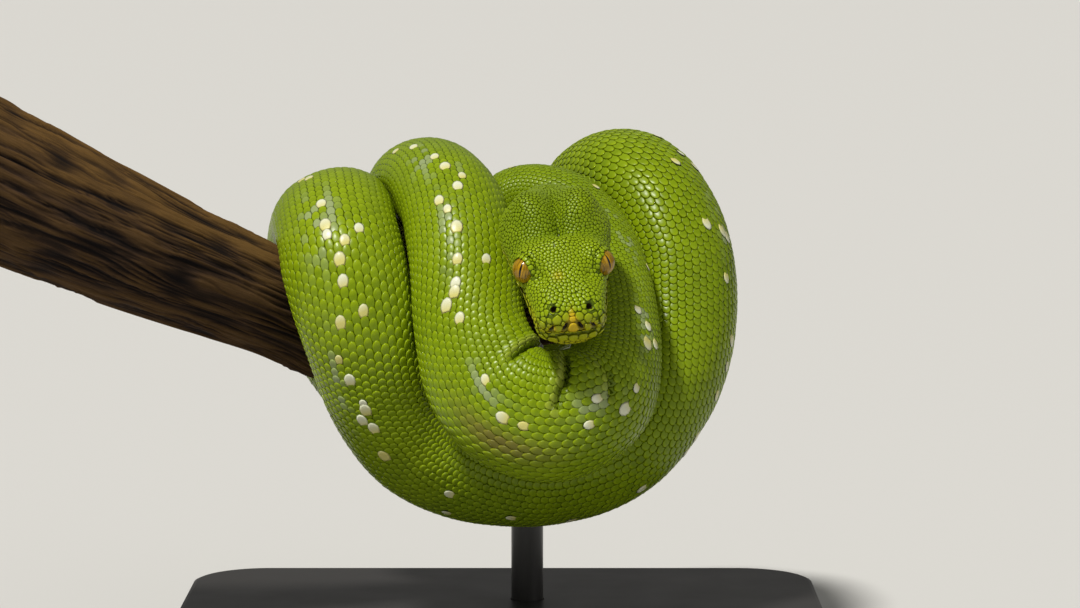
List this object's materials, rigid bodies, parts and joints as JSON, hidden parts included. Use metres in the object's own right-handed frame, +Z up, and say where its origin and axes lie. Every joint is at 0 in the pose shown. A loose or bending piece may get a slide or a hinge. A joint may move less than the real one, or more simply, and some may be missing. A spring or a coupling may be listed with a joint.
{
  "type": "green tree python",
  "caption": "Green tree python coiled at rest over a cut length of branch, head laid on its coils, held by a plain display stand.",
  "frame": {"origin": "middle of the stand base's underside", "axes": "+Z up, -Y towards the side that the snake faces, +X to the right as the snake is looked at from the front"},
  "size_m": [0.2718, 0.17, 0.1762],
  "materials": {
    "skin": "small satin scales, bright yellow-green with white flecks along the back",
    "eye": "wet and glossy, golden brown with an upright slit",
    "bark": "dry grey-brown bark, furrowed along the branch",
    "stand_rod": "satin black",
    "stand_base": "satin black"
  },
  "bodies": {
    "root": {"head": "skin", "neck": "skin", "trunk_1": "skin", "trunk_2": "skin", "trunk_3": "skin", "trunk_4": "skin", "trunk_5": "skin", "trunk_6": "skin", "trunk_7": "skin", "tail": "skin", "eye_left": "eye", "eye_right": "eye", "branch": "bark", "stand_rod": "stand_rod", "stand_base": "stand_base"}
  },
  "joints": []
}
